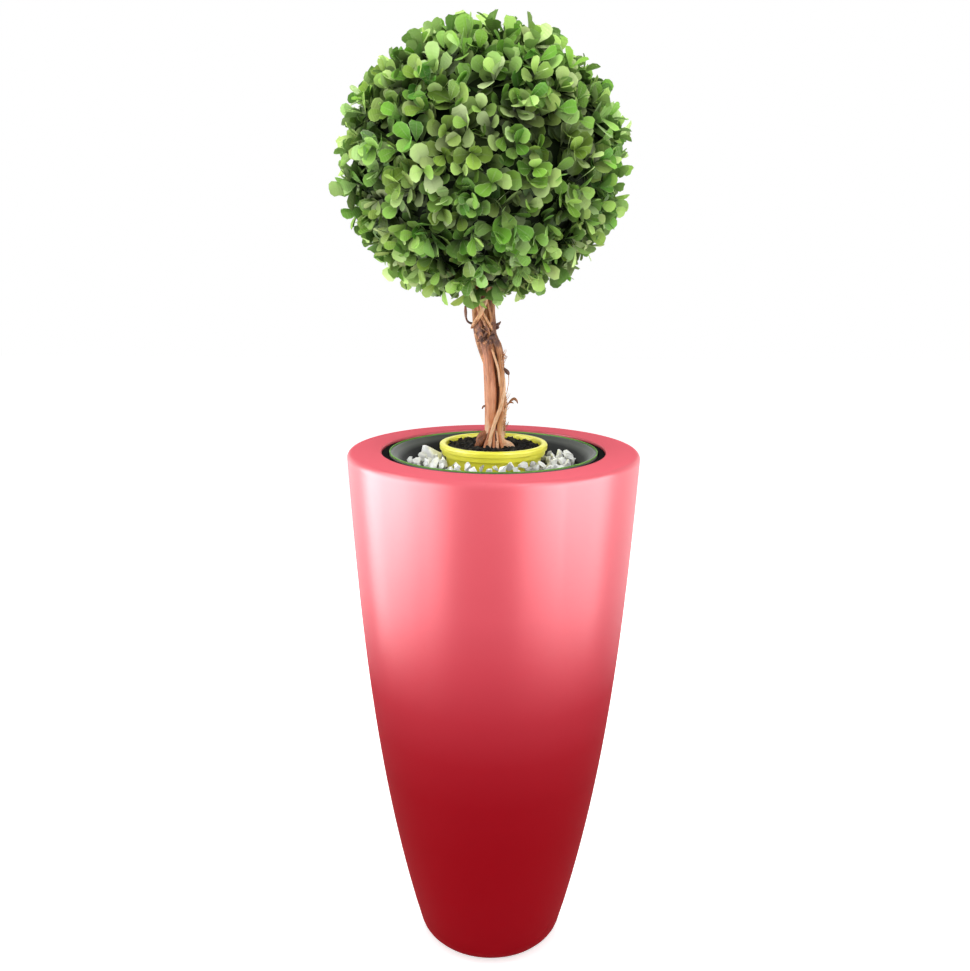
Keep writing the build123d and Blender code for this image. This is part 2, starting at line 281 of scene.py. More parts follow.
def plainMesh(piece):
    # what the modifiers make becomes the piece's own mesh
    bpy.context.view_layer.update()
    made = bpy.data.meshes.new_from_object(piece.evaluated_get(bpy.context.evaluated_depsgraph_get()))
    piece.modifiers.clear()
    return made


# the planter's shell; the wall runs through the heights and radii, all in metres
shell = {
    "wallHeights": (0.030, 0.109, 0.1885, 0.2678, 0.347, 0.426, 0.5055, 0.585, 0.656),
    "wallRadii": (0.0962, 0.1168, 0.1314, 0.1432, 0.1541, 0.162, 0.1691, 0.1743, 0.1775),
    "baseRound": 0.027,
    "rimRound": 0.0065,
    "mouthRound": 0.0022,
    "mouthRadius": 0.1365,
    "ledgeRadius": 0.124,
    "ledgeDrop": 0.012,
    "wall": 0.0045,
    "footRadius": 0.046,
    "footRecess": 0.007,
    "drainRadius": 0.012,
    "softEdge": 0.0006,
    "innerEdge": 0.001,
    "footEdge": 0.0015,
    "innerRound": 0.003,
    "floorRound": 0.02,
    "levels": 30,
    "levelFrom": 0.05,
    "levelStep": 0.02,
    "around": 192,
    "glossFrom": 0.37,
    "glossTo": 0.68,
    "footGloss": 0.07,
    "flatDepth": 0.002,
}
wallCurve = np.polyfit(shell["wallHeights"], shell["wallRadii"], 3)


def wallRadius(height):
    return float(np.polyval(wallCurve, height))


def shellOutline():
    wall, ledge = shell["wall"], rimTop - shell["ledgeDrop"]
    levels = [shell["levelFrom"] + shell["levelStep"] * k for k in range(shell["levels"])]
    mouth = shell["mouthRadius"]
    under = rimTop - wall
    corners = [(wallRadius(0), 0, shell["baseRound"])]
    corners += [(wallRadius(z), z, 0) for z in levels]
    corners += [
        (wallRadius(rimTop), rimTop, shell["rimRound"]),
        (mouth, rimTop, shell["mouthRound"]),
        (mouth, ledge, 0),
        (shell["ledgeRadius"], ledge, shell["softEdge"]),
        (shell["ledgeRadius"], ledge - wall, shell["softEdge"]),
        (mouth + wall, ledge - wall, shell["innerEdge"]),
        (mouth + wall, under, shell["innerEdge"]),
        (wallRadius(rimTop) - wall, under, shell["innerRound"]),
    ]
    corners += [(wallRadius(z) - wall, z, 0) for z in reversed(levels)]
    floor = shell["footRecess"] + wall
    corners += [
        (wallRadius(wall) - wall, wall, shell["floorRound"]),
        (shell["footRadius"] + shell["footRecess"], wall, 0),
        (shell["footRadius"], floor, 0),
        (shell["drainRadius"], floor, shell["softEdge"]),
        (shell["drainRadius"], shell["footRecess"], shell["softEdge"]),
        (shell["footRadius"], shell["footRecess"], shell["innerEdge"]),
        (shell["footRadius"] + shell["footRecess"] / 2, 0, shell["footEdge"]),
    ]
    return roundedOutline(corners)


def shellFinish():
    graph = newFinish("rosyGloss", Specular_IOR_Level=0.0, Coat_IOR=1.36, Coat_Roughness=0.31)
    height = graph.along("Z")
    # the colour deepens from the rim to the foot, partly the paint's own fade from pink to red and partly
    # painted light, the lighter top standing in for the reflected overhead light; the last step is the flat
    # of the rim
    stops = (
        (0.00, 145, 6, 19),
        (0.27, 145, 6, 19),
        (0.38, 149, 11, 24),
        (0.47, 160, 24, 36),
        (0.56, 178, 44, 56),
        (0.66, 197, 61, 74),
        (0.76, 211, 76, 89),
        (0.88, 215, 79, 92),
        (0.985, 219, 84, 97),
        (0.9993, 224, 94, 107),
        (1.00, 226, 103, 116),
    )
    colour = graph.ramp(height / rimTop, *stops)
    # the upper wall is glossier than the foot, and the flat of the rim is matt
    upper = graph.spread(height, shell["glossFrom"], shell["glossTo"])
    offFlat = graph.spread(height, rimTop, rimTop - shell["flatDepth"])
    return graph.paint(
        Base_Color=graph.blend(graph.grain(9, 2) * 0.04, colour, tint(190, 52, 64)),
        Coat_Weight=(upper * (1 - shell["footGloss"]) + shell["footGloss"]) * offFlat,
        Roughness=0.36 + graph.grain(30, 3) * 0.1,
        Normal=graph.bump(graph.grain(14, 2), 0.0005, 0.2),
    )


shellMesh = latheMesh("planterShell", shellOutline(), shell["around"])
newPiece("planterShell", shellMesh, "planter", "planter_red", shellFinish(), "outer_shell")
print("planter shell made")


# finishes of the pieces that keep their own shape
def plasticFinish(name, colour, deeper, roughness, scale=60, depth=0.0002, shine=0.25):
    graph = newFinish(name, Specular_IOR_Level=shine)
    speck = graph.grain(scale, 5)
    return graph.paint(
        Base_Color=graph.blend(speck, colour, deeper),
        Roughness=roughness + speck * 0.12,
        Normal=graph.bump(graph.grain(scale * 8, 2), depth, 0.35),
    )


def dress(node, finish):
    held = frame["nodes"][node].data.materials
    held.clear()
    held.append(finish)


def gravelFinish():
    graph = newFinish("gravelBed", Roughness=0.85, Specular_IOR_Level=0.15)
    cells = graph.node("ShaderNodeTexVoronoi", {"Vector": graph.place(), "Scale": 140.0})
    # the dark gravel colours are partly its own and partly painted shade for the gaps between the chips
    stops = (0.3, 22, 20, 18), (0.5, 48, 44, 38), (0.7, 92, 86, 76)
    colour = graph.ramp(graph.grain(90, 4), *stops)
    return graph.paint(Base_Color=colour, Normal=graph.bump(cells, 0.003, 0.8))


# drops from the rim between which the painted shade down in the bowl fades out, and the reach of the ball's
# painted shadow towards the back
liner = {"fullShadeDrop": 0.018, "shadeEndDrop": 0.006, "ballShadowReach": 0.11}


def linerFinish():
    # painted shade: darker down in the bowl than on the slope under the lip, and darker towards the back
    # under a painted shadow of the ball
    graph = newFinish("linerGrey", Specular_IOR_Level=0.12)
    slope = graph.spread(graph.along("Z"), rimTop - liner["fullShadeDrop"], rimTop - liner["shadeEndDrop"])
    # painted shade by depth, and a painted shadow of the ball towards the back, mixed into the greys
    back = graph.spread(graph.along("Y"), 0.0, liner["ballShadowReach"])
    shade = slope - back * 0.34 + graph.grain(30, 3) * 0.16 - 0.08
    paintedShadeGreys = (0.1, 7, 8, 7), (0.42, 26, 28, 27)
    lip = (0.78, 88, 91, 89), (0.98, 110, 113, 111)
    return graph.paint(
        Base_Color=graph.ramp(shade, *paintedShadeGreys, *lip),
        Roughness=0.42 + graph.grain(80, 3) * 0.12,
        Normal=graph.bump(graph.grain(300, 2), 0.0002, 0.3),
    )


# the collar's black, almost without shine, is partly the ring's own colour and partly painted shade for the
# dark gap between the rim and the liner
dress("collar", plasticFinish("collarBlackAndShade", tint(2, 2, 2), tint(6, 7, 6), 0.6, shine=0.01))
dress("liner", linerFinish())
dress("liner_trim", plasticFinish("trimGreen", tint(78, 136, 36), tint(104, 160, 56), 0.45))
dress("gravel_fill", gravelFinish())
plaster = plasticFinish("castPlaster", tint(206, 202, 194), tint(184, 180, 172), 0.8, 90, 0.0008)
dress("plaster_block", plaster)
rubber = plasticFinish("plugRubber", tint(24, 24, 24), tint(36, 36, 35), 0.6, 120)
dress("drain_plug", rubber)
dress("plug_washer", rubber)
# the foam's near black green is partly its own colour and partly painted shade for the gaps between the
# sprigs
dress("foam_core", plasticFinish("craftFoamAndShade", tint(12, 20, 7), tint(24, 34, 13), 0.95, 200, 0.001, 0.05))
print("kept pieces dressed")


# the yellow pot
pot = {
    "band": 0.0078,
    "shoulder": 0.0062,
    "shoulderInset": 0.0021,
    "edge": 0.0012,
    "softEdge": 0.0005,
    "groove": 0.001,
    "bandLean": 0.0004,
    "floorRound": 0.002,
    "axisGap": 0.0004,
    "rimRound": 0.0026,
    "mouthRound": 0.0024,
    "wall": 0.002,
    "mouthRadius": 0.0585,
    "baseRadius": 0.047,
    "drains": 5,
    "drainRadius": 0.004,
    "drainCircle": 0.026,
    "drainSides": 24,
    "drillDepth": 0.01,
    "around": 160,
}


def potOutline():
    low, high = potBox[0].z, potBox[1].z
    rim, mouth, base, wall = potBox[1].x, pot["mouthRadius"], pot["baseRadius"], pot["wall"]
    edge, gap = pot["edge"], pot["axisGap"]
    bandFoot = high - pot["band"]
    shoulderFoot = bandFoot - pot["shoulder"]
    step = rim - pot["shoulderInset"]
    body = base + (mouth + wall - base) * (shoulderFoot - low) / (high - low)
    return roundedOutline([
        (gap, low, 0),
        (base, low, edge),
        (body, shoulderFoot, edge),
        (step - pot["groove"], shoulderFoot, edge),
        (step, bandFoot, pot["softEdge"]),
        (rim - pot["bandLean"], bandFoot, edge),
        (rim, high, pot["rimRound"]),
        (mouth, high, pot["mouthRound"]),
        (base - wall, low + wall, pot["floorRound"]),
        (gap, low + wall, 0),
    ])


def potFinish():
    graph = newFinish("potYellow", Specular_IOR_Level=0.35)
    shade = graph.grain(35, 3)
    return graph.paint(
        Base_Color=graph.blend(shade, tint(255, 252, 82), tint(252, 246, 66)),
        Roughness=0.26 + shade * 0.1,
        Normal=graph.bump(graph.grain(25, 2), 0.0004, 0.3),
    )


potMesh = latheMesh("growPot", potOutline(), pot["around"])
blank = newObject("blank", potMesh)
work = bmesh.new()
drill = {"radius1": pot["drainRadius"], "radius2": pot["drainRadius"], "depth": pot["drillDepth"]}
drill.update({"segments": pot["drainSides"], "cap_ends": True})
for cosine, sine in circle(pot["drains"]):
    spot = Matrix.Translation((pot["drainCircle"] * cosine, pot["drainCircle"] * sine, potBox[0].z))
    bmesh.ops.create_cone(work, matrix=spot, **drill)
cutter = newObject("cutter", meshOf("cutter", work))
holes = blank.modifiers.new("drains", "BOOLEAN")
holes.operation = "DIFFERENCE"
holes.object = cutter
potMesh = plainMesh(blank)
bpy.data.objects.remove(blank)
bpy.data.objects.remove(cutter)
newPiece("growPot", potMesh, "plant", "pot_yellow", potFinish(), "grow_pot")
print("pot made")


# scattering, shared by the chips, the bark and the leaves
def scatterTree(name, kinds):
    tree = bpy.data.node_groups.new(name, "GeometryNodeTree")
    kindOf = {"Geometry": "Geometry", "seed": "Int", "finish": "Material"}
    kindOf.update({label: "Float" for label in ("spacing", "crowding", "smallest", "largest", "tilt")})
    for label, kind in kindOf.items():
        tree.interface.new_socket(label, in_out="INPUT", socket_type="NodeSocket" + kind)
    tree.interface.new_socket("Geometry", in_out="OUTPUT", socket_type="NodeSocketGeometry")
    graph = Graph(tree)
    entry = tree.nodes.new("NodeGroupInput").outputs
    given = {label: Wire(graph, entry[label]) for label in kindOf}
    seed = given["seed"]

    def chance(kind, values, out=0):
        return graph.node("FunctionNodeRandomValue", values, out, data_type=kind)

    values = {"Mesh": given["Geometry"], "Distance Min": given["spacing"]}
    values.update({"Density Max": given["crowding"], "Seed": seed})
    points = graph.node("GeometryNodeDistributePointsOnFaces", values, "Points", distribute_method="POISSON")
    facing = points.beside("Rotation")
    swing = graph.node("ShaderNodeCombineXYZ", [given["tilt"], given["tilt"], math.pi])
    back = graph.node("ShaderNodeVectorMath", {"Vector": swing, "Scale": -1.0}, operation="SCALE")
    spun = chance("FLOAT_VECTOR", {0: back, 1: swing, 8: seed})
    turn = graph.node("FunctionNodeEulerToRotation", [spun])
    facing = graph.node("FunctionNodeRotateRotation", [facing, turn], rotation_space="LOCAL")
    size = chance("FLOAT", {2: given["smallest"], 3: given["largest"], 8: seed + 1}, 1)
    values = {"Collection": kinds, "Separate Children": True, "Reset Children": True}
    stock = graph.node("GeometryNodeCollectionInfo", values)
    pick = chance("INT", {4: 0, 5: len(kinds.objects) - 1, 8: seed + 2}, 2)
    values = {"Points": points, "Instance": stock, "Pick Instance": True, "Instance Index": pick}
    values.update({"Rotation": facing, "Scale": size})
    crowd = graph.node("GeometryNodeInstanceOnPoints", values)
    values = {"Geometry": crowd, "Name": "pieceTone", "Value": chance("FLOAT", {8: seed + 3}, 1)}
    crowd = graph.node("GeometryNodeStoreNamedAttribute", values, data_type="FLOAT", domain="INSTANCE")
    solid = graph.node("GeometryNodeRealizeInstances", [crowd])
    dressed = graph.node("GeometryNodeSetMaterial", {"Geometry": solid, "Material": given["finish"]})
    graph.node("NodeGroupOutput", [dressed])
    return tree


def scattered(tree, bed, piece, **sizes):
    # the piece's dictionary gives what the call doesn't
    sizes = {**piece, **sizes}
    ground = newObject("ground", bed)
    scatter = ground.modifiers.new("scatter", "NODES")
    scatter.node_group = tree
    for item in tree.interface.items_tree:
        if item.in_out == "INPUT" and item.name in sizes:
            scatter[item.identifier] = sizes[item.name]
    made = plainMesh(ground)
    bpy.data.objects.remove(ground)
    return made


def joinedMesh(name, meshes):
    work = bmesh.new()
    for mesh in meshes:
        work.from_mesh(mesh)
    return meshOf(name, work)


def stockOf(name, meshes):
    stock = bpy.data.collections.new(name)
    for k, mesh in enumerate(meshes):
        stock.objects.link(bpy.data.objects.new(f"{name}{k}", mesh))
    return stock


def clearStock(stock):
    for item in list(stock.objects):
        bpy.data.objects.remove(item)
    bpy.data.collections.remove(stock)


def brokenStone(name, seed, size, corners, squareness, thinnest=0.85):
    # a hull round points on a rounded block, which gives flat broken faces
    pick = random.Random(seed)
    work = bmesh.new()
    for _ in range(corners):
        way = Vector([pick.uniform(-1, 1) for _ in range(3)])
        way = Vector([math.copysign(abs(c) ** squareness, c) for c in way.normalized()])
        work.verts.new([c * s * pick.uniform(thinnest, 1) for c, s in zip(way, size)])
    bmesh.ops.convex_hull(work, input=work.verts)
    loose = [v for v in work.verts if not v.link_faces]
    bmesh.ops.delete(work, geom=loose, context="VERTS")
    bmesh.ops.recalc_face_normals(work, faces=work.faces)
    return meshOf(name, work)


def ringBed(name, inner, outer, heightAt, rings=8, around=96, frontEdge=-1.0, backEdge=1.0):
    points = []
    for ring in range(rings + 1):
        radius = inner + (outer - inner) * ring / rings
        for cosine, sine in circle(around):
            x, y = radius * cosine, radius * sine
            points.append((x, y, heightAt(x, y)))
    # only the faces between the front and the back edge are kept
    faces = [f for f in gridFaces(rings + 1, around) if frontEdge <= points[f[0]][1] < backEdge]
    return meshFrom(name, points, faces)


# the white marble chips
chips = {
    "kinds": 12,
    "kindSeed": 20,
    "size": (0.0074, 0.0058, 0.0050),
    "corners": 10,
    "squareness": 0.8,
    "crowding": 40000.0,
    "smallest": 0.55,
    "largest": 1.12,
    "tilt": math.pi,
    "inner": 0.0675,
    "outer": 0.1005,
    # each layer's spacing, height over the gravel, inset, front edge, back edge and seed
    "layers": (
        (0.0086, 0.0035, 0.0, -1.0, 0.026, 11),
        (0.0138, 0.0115, 0.002, -1.0, 0.012, 20),
        (0.0125, -0.0005, 0.0, 0.026, 1.0, 15),
    ),
    "unevenness": 0.002,
    "unevenScale": 38,
    # heights over the gravel across which the painted shade at the chips' feet fades out
    "dustFrom": -0.002,
    "dustTo": 0.0065,
    # each big stone's place, height over the gravel, scale and turn
    "bigStones": (
        (-0.0775, 0.013, 0.0115, 2.15, 0.5),
        (0.0885, 0.004, 0.0095, 1.45, 1.4),
        (-0.071, -0.030, 0.0095, 1.3, 2.3),
    ),
    "bigTone": 0.8,
}


def chipFinish():
    graph = newFinish("whiteMarble", Roughness=0.42)
    vein = graph.grain(120, 6, (1, 1.6, 0.7), 0.65)
    tone = graph.stored("pieceTone")
    stops = (0.26, 150, 149, 140), (0.42, 224, 225, 221), (0.66, 254, 255, 253)
    colour = graph.ramp(vein * 0.55 + tone * 0.45, *stops)
    # painted shade: the feet of the chips and the gaps between them are darkened by their height over the
    # gravel
    height = graph.along("Z") - gravelBox[1].z
    unshaded = graph.spread(height, chips["dustFrom"], chips["dustTo"])
    return graph.paint(
        Base_Color=graph.blend(unshaded, tint(58, 58, 50), colour),
        Roughness=0.32 + vein * 0.3,
        Normal=graph.bump(graph.grain(420, 5), 0.0006, 0.6),
    )


def chipHeight(lift):
    def heightAt(x, y):
        uneven = noise.noise(Vector((x, y, lift)) * chips["unevenScale"])
        return gravelBox[1].z + lift + chips["unevenness"] * uneven
    return heightAt


chipShape = (chips["size"], chips["corners"], chips["squareness"])
chipSeeds = range(chips["kindSeed"], chips["kindSeed"] + chips["kinds"])
chipKinds = [brokenStone("chip", seed, *chipShape) for seed in chipSeeds]
chipStock = stockOf("chip", chipKinds)
chipTree = scatterTree("scatterChips", chipStock)
chipLook = chipFinish()
chipMeshes = []
for spacing, lift, inset, frontEdge, backEdge, seed in chips["layers"]:
    inner, outer = chips["inner"] + inset, chips["outer"] - inset
    bed = ringBed("chipBed", inner, outer, chipHeight(lift), frontEdge=frontEdge, backEdge=backEdge)
    chipMeshes.append(scattered(chipTree, bed, chips, spacing=spacing, seed=seed, finish=chipLook))
for k, (x, y, lift, scale, turn) in enumerate(chips["bigStones"]):
    stone = chipKinds[k].copy()
    spot = Matrix.Translation((x, y, gravelBox[1].z + lift))
    stone.transform(spot @ Matrix.Rotation(turn, 4, "Y") @ Matrix.Scale(scale, 4))
    storeTone(stone, "pieceTone", [chips["bigTone"]] * len(stone.vertices))
    chipMeshes.append(stone)
chipMesh = joinedMesh("marbleChips", chipMeshes)
newPiece("marbleChips", chipMesh, "liner", "marble", chipLook, "marble_chips")
clearStock(chipStock)
print("marble chips made", len(chipMesh.polygons), "faces")


# the soil with its bark crumbs
soil = {
    "radius": 0.0572,
    "axisGap": 0.0005,
    "rings": 22,
    "around": 96,
    "lumps": 0.0018,
    "lumpScale": 60,
    "crumbScale": 190,
    "crumbShare": 0.6,
    "heap": 0.0016,
    "heapSpread": 0.0006,
    "heapPlace": -0.004,
    "drop": 0.0056,
    "depth": 0.012,
    "barkSize": (0.0050, 0.0032, 0.0018),
    "barkCorners": 11,
    "barkSquareness": 0.7,
    "barkKinds": 8,
    "kindSeed": 60,
    "spacing": 0.0046,
    "crowding": 60000.0,
    "smallest": 0.5,
    "largest": 1.5,
    "tilt": 0.9,
    "seed": 5,
}


def soilHeight(x, y):
    coarse, close = soil["lumpScale"], soil["crumbScale"]
    broad = noise.noise(Vector((x * coarse, y * coarse, 2)))
    fine = noise.noise(Vector((x * close, y * close, 7)))
    heap = soil["heap"] * math.exp(-((x - soil["heapPlace"]) ** 2 + y ** 2) / soil["heapSpread"])
    return potBox[1].z - soil["drop"] + soil["lumps"] * (broad + soil["crumbShare"] * fine) + heap


def soilFinish():
    graph = newFinish("darkBark", Roughness=0.9, Specular_IOR_Level=0.12)
    tone = graph.grain(160, 6, rough=0.7) * 0.7 + graph.stored("pieceTone") * 0.3
    stops = (0.3, 8, 7, 6), (0.5, 22, 19, 15), (0.66, 58, 52, 40)
    relief = graph.bump(graph.grain(520, 6), 0.0012, 0.8)
    return graph.paint(Base_Color=graph.ramp(tone, *stops), Normal=relief)


def soilSurface():
    sizes = (soil["axisGap"], soil["radius"], soilHeight, soil["rings"], soil["around"])
    return ringBed("soilSurface", *sizes)


soilLook = soilFinish()
barkShape = (soil["barkSize"], soil["barkCorners"], soil["barkSquareness"])
barkSeeds = range(soil["kindSeed"], soil["kindSeed"] + soil["barkKinds"])
barkStock = stockOf("bark", [brokenStone("bark", seed, *barkShape) for seed in barkSeeds])
barkTree = scatterTree("scatterBark", barkStock)
barkMesh = scattered(barkTree, soilSurface(), soil, finish=soilLook)
# the bed gets a floor and a side, so that it is a closed body
bed = soilSurface()
work = bmesh.new()
work.from_mesh(bed)
rim = [e for e in work.edges if e.is_boundary]
grown = bmesh.ops.extrude_edge_only(work, edges=rim)["geom"]
for v in [g for g in grown if isinstance(g, bmesh.types.BMVert)]:
    v.co.z = soilTop - soil["depth"]
bmesh.ops.holes_fill(work, edges=[e for e in work.edges if e.is_boundary])
bmesh.ops.recalc_face_normals(work, faces=work.faces)
work.to_mesh(bed)
work.free()
soilMesh = joinedMesh("soilBed", [bed, barkMesh])
newPiece("soilBed", soilMesh, "plant", "soil", soilLook, "potting_soil")
clearStock(barkStock)
print("soil made", len(soilMesh.polygons), "faces")


def smoothed(keys, steps):
    # a Catmull-Rom curve through the keys, each with its radius last
    keys = [np.array(k, float) for k in keys]
    keys = [2 * keys[0] - keys[1]] + keys + [2 * keys[-1] - keys[-2]]
    curve = []
    for a, b, c, d in zip(keys, keys[1:], keys[2:], keys[3:]):
        for s in range(steps):
            t = s / steps
            square, cube = (2 * a - 5 * b + 4 * c - d) * t * t, (3 * b - a - 3 * c + d) * t ** 3
            curve.append(0.5 * (2 * b + (c - a) * t + square + cube))
    return curve + [keys[-2]]


class TubeSet:
    # many tubes in one mesh, with a map that runs round and along each of them
    def __init__(self):
        self.points, self.faces, self.maps, self.tones = [], [], [], []

    def add(self, keys, sides, steps=6, rough=0.0, seed=0, ridges=0.0, tone=(0.5, 0.5)):
        # the tone goes from the foot's to the top's
        curve = smoothed(keys, steps)
        centres = [Vector(c[:3]) for c in curve]
        across = None
        first = len(self.points)
        length = 0
        for k, centre in enumerate(centres):
            ahead = (centres[min(k + 1, len(centres) - 1)] - centres[max(k - 1, 0)]).normalized()
            if across is None:
                across = ahead.orthogonal().normalized()
            across = (across - ahead * across.dot(ahead)).normalized()
            side = ahead.cross(across)
            length += (centre - centres[k - 1]).length if k else 0
            for cosine, sine in circle(sides):
                out = across * cosine + side * sine
                spot = Vector((cosine, sine, length * 30 + seed * 7.3))
                ridge = ridges * noise.noise(Vector((spot.x * 2.6, spot.y * 2.6, spot.z * 0.22)))
                swell = 1 + rough * noise.noise(spot * 1.7) + ridge
                self.points.append(centre + out * curve[k][3] * swell)
                self.tones.append(tone[1] + (tone[0] - tone[1]) * (1 - k / (len(centres) - 1)) ** 2)
        rows = len(centres)
        for k in range(rows - 1):
            for s in range(sides):
                a, b = first + k * sides + s, first + k * sides + (s + 1) % sides
                self.faces.append((a, b, b + sides, a + sides))
                low, high, here, there = k / (rows - 1), (k + 1) / (rows - 1), s / sides, (s + 1) / sides
                self.maps.append(((here, low), (there, low), (there, high), (here, high)))
        self.faces.append(tuple(first + s for s in reversed(range(sides))))
        self.faces.append(tuple(first + (rows - 1) * sides + s for s in range(sides)))
        self.maps += [((0, 0),) * sides, ((0, 1),) * sides]

    def mesh(self, name):
        made = meshFrom(name, self.points, self.faces)
        storeMap(made, "alongMap", self.maps)
        storeTone(made, "strandTone", self.tones)
        return made


# each key is across, depth, height above the planter's rim and radius, in millimetres;
# a strand ends with its tone
stem = {
    "main": (
        (-3.5, 0, -8, 9), (-3.6, 0, 6, 8.2), (-3.8, 0, 18, 7), (-3.9, 0, 32, 6.6), (-3.8, 0, 50, 6.9),
        (-4.2, 0, 70, 7.3), (-5, 0, 85, 7.1), (-6.2, 0, 97, 6.7), (-7.7, 0, 114, 6.5), (-10, 0, 124, 6.8),
        (-12.6, 0, 133, 7.2), (-16, 0, 145, 7.2), (-18, 0, 160, 7), (-18.5, 0, 175, 6.8), (-16, 0, 196, 6.4),
        (-14, 0, 216, 6.2), (-14, 0, 240, 6),
    ),
    "side": (
        (10, -5, -8, 5), (8.8, -4, 4, 4.6), (7.8, -3, 22, 3.9), (9.2, -3, 44, 4.2), (10.2, -3, 66, 3.6),
        (9.6, -3, 82, 3.3), (8.9, -3, 100, 3.3), (7.8, -3, 113, 3.7), (4.8, -3.5, 126, 4.2),
        (1.6, -4, 133, 3.9), (-1.4, -4, 141, 3.8), (-2.2, -3.5, 150, 4.3), (-3.8, -2, 163, 4.7),
        (-4.6, -1, 176, 4.8), (-6, 0, 196, 4.6), (-8, 0, 210, 4.4),
    ),
    # each tone pair runs from a lighter foot to a darker top: partly the bark's own tone, partly painted
    # light at the foot, where the pot and the ball shade it
    "mainShape": {"sides": 28, "rough": 0.05, "seed": 1, "ridges": 0.12, "tone": (1.4, 0.12)},
    "sideShape": {"sides": 22, "rough": 0.08, "seed": 2, "ridges": 0.2, "tone": (0.95, 0.36)},
    # where the strands cross, in metres above the rim
    "knotFoot": (0.134, 0.146),
    "knotTop": (0.178, 0.158),
}
strands = {
    "paths": (
        ((-2.8, -8.2, 123, 1.1), (0.4, -8.6, 113, 1.5), (3.5, -8, 104, 1.5), (5.2, -7.6, 97, 1.4),
         (6.2, -7, 88, 1.3), (7, -5.6, 78, 1.0), 0.95),
        ((-1.6, -7, 143, 1.4), (-5, -9.4, 150, 1.8), (-9.5, -10, 158, 1.8), (-14, -9.6, 166, 1.8),
         (-17, -8, 176, 1.8), (-18, -6, 192, 1.6), 0.95),
        ((-4.6, -7, 139.5, 1.4), (-8, -9, 146.5, 1.7), (-12.4, -9.8, 155, 1.7), (-16.6, -9, 163, 1.7),
         (-20, -7, 175, 1.6), (-20.5, -5, 190, 1.6), 0.8),
        ((-27, -3, 147, 1.4), (-24, -8.6, 153, 2.3), (-19, -11.6, 160, 2.5), (-14.8, -12.2, 168, 2.5),
         (-11.6, -10.8, 176, 2.4), (-8, -8, 188, 2.2), (-6, -6, 200, 2), 1.0),
        ((-12, -1, 104, 0.9), (-14.4, -1.5, 113, 1.7), (-17, -2, 122, 2.1), (-19.8, -2.6, 132, 2.4),
         (-22.2, -3, 145, 2.7), (-23.4, -4, 160, 2.9), (-23.4, -5, 175, 2.9), (-21, -4, 194, 2.6), 0.66),
        ((12.6, -3, 88, 1.1), (12.6, -5, 74, 1.8), (11.2, -6.6, 64, 2.3), (8, -8, 52, 2.5),
         (4, -9, 42, 2.6), (0.2, -9.2, 31, 2.6), (-3, -9.8, 20, 2.4), (-6, -10.6, 10, 2.3),
         (-8, -12, -2, 2), 1.1),
        ((13.4, -2, 70, 1.0), (14.2, -3, 58, 1.7), (13.2, -3.5, 44, 2.1), (11.6, -4.2, 32, 2.3),
         (10.8, -5, 20, 2.3), (11.2, -6.6, 8, 2.4), (13, -9, -2, 2), 1.2),
        ((4, 6, 24, 3), (4.6, 5.6, 44, 4), (4.6, 5.6, 70, 4.2), (4.2, 5.6, 90, 4.2), (2.4, 5.6, 108, 4.2),
         (-2, 6, 130, 3.6), (-8, 6.6, 150, 3.3), (-14, 6, 176, 3), (-16, 4, 200, 3), 0.0),
        ((0, 2, 116, 2.5), (-4, -1.6, 128, 3.5), (-7.4, -3, 138, 4), (-9.6, -3.4, 150, 4.2),
         (-10.8, -2.5, 166, 4.2), (-11, -1, 186, 3.8), (-11, 0, 208, 3.6), 0.4),
        ((-13, -7, 128, 1), (-9, -9, 132, 1.6), (-4, -8.6, 138, 1.8), (-2, -7.4, 146, 1.6),
         (-3, -6.4, 158, 1.6), (-2, -5, 172, 1.6), (-4, -3, 192, 1.4), 0.5),
        ((-21, -5, 131, 0.9), (-17, -8.2, 134, 1.4), (-12, -9, 139, 1.5), (-7, -8.8, 147, 1.5),
         (-4, -8, 158, 1.5), (-7, -8.6, 172, 1.5), (-12, -7, 188, 1.4), 0.6),
    ),
    "shape": {"sides": 12, "rough": 0.14, "ridges": 0.2},
    "seed": 20,
}
